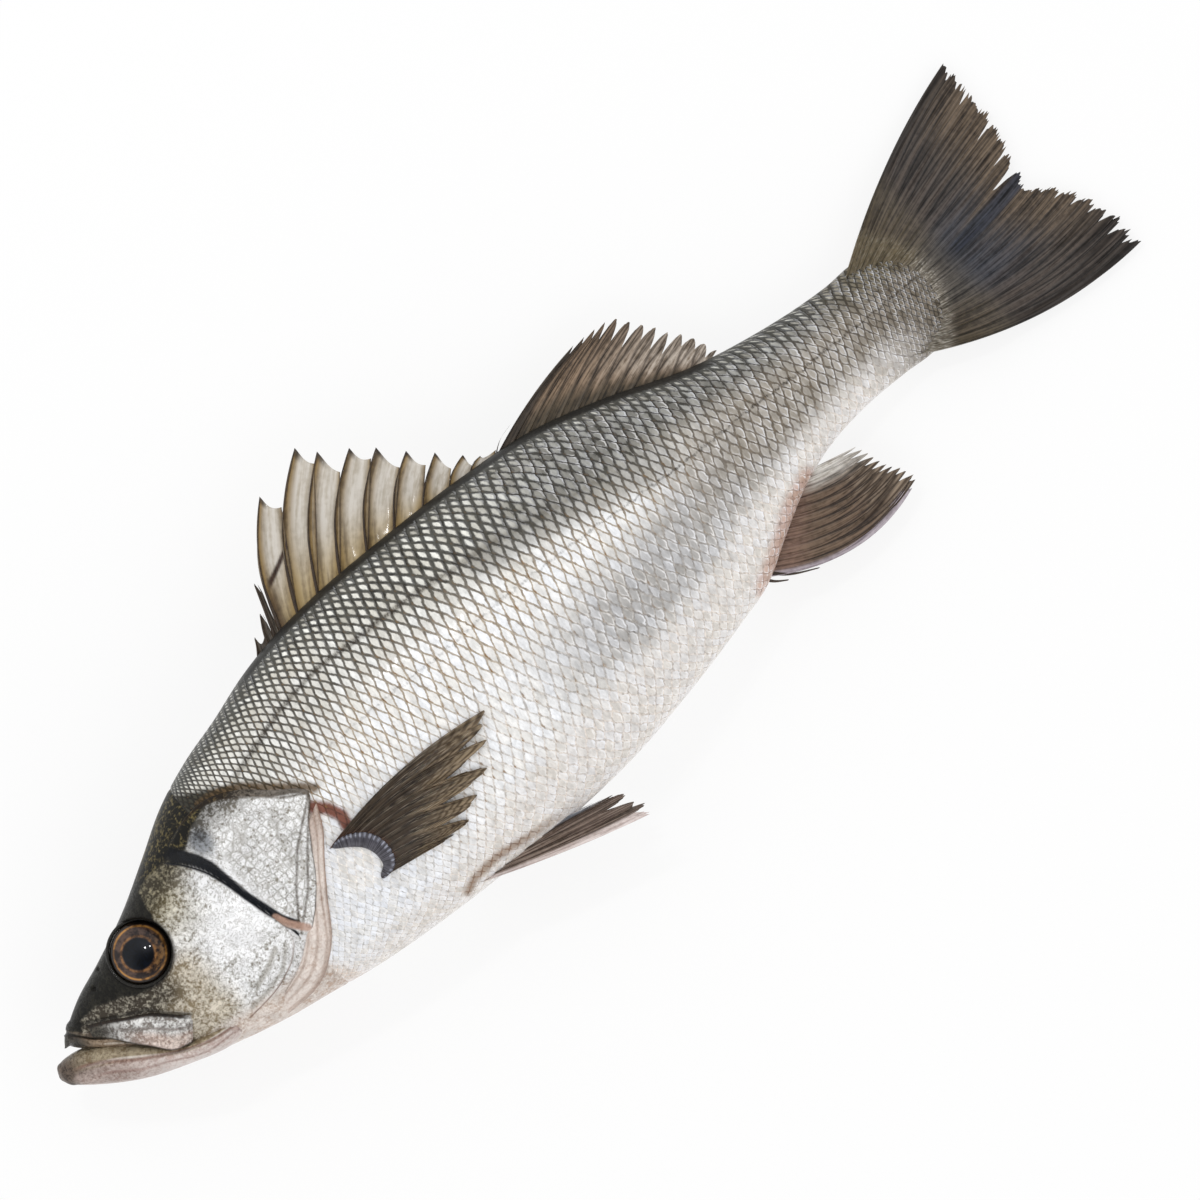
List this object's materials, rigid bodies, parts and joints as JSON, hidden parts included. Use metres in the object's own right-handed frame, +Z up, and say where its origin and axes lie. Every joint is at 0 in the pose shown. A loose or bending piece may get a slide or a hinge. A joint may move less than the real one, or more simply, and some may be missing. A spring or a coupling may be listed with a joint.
{
  "type": "whole raw fish",
  "caption": "Whole raw fish of the sea bass kind lying on its side: silver scaled flank, dark back, raised spiny back fin, large round eye and broad tail fin.",
  "frame": {"origin": "centre of the fish's box at the surface it lies on", "axes": "+X from the snout to the tail, +Y from the belly to the back, +Z up out of the fish's left side"},
  "size_m": [0.5008, 0.1858, 0.0666],
  "materials": {
    "skin": "wet silver scales, dark olive along the back, cream along the belly",
    "fin": "wet translucent webs, pearly to dark brown, on stiff spines and rays",
    "eye": "clear wet dome over a blue-black pupil and a brown and gold ring"
  },
  "bodies": {
    "root": {"fish": "skin", "eye_left": "eye", "eye_right": "eye"}
  },
  "joints": []
}
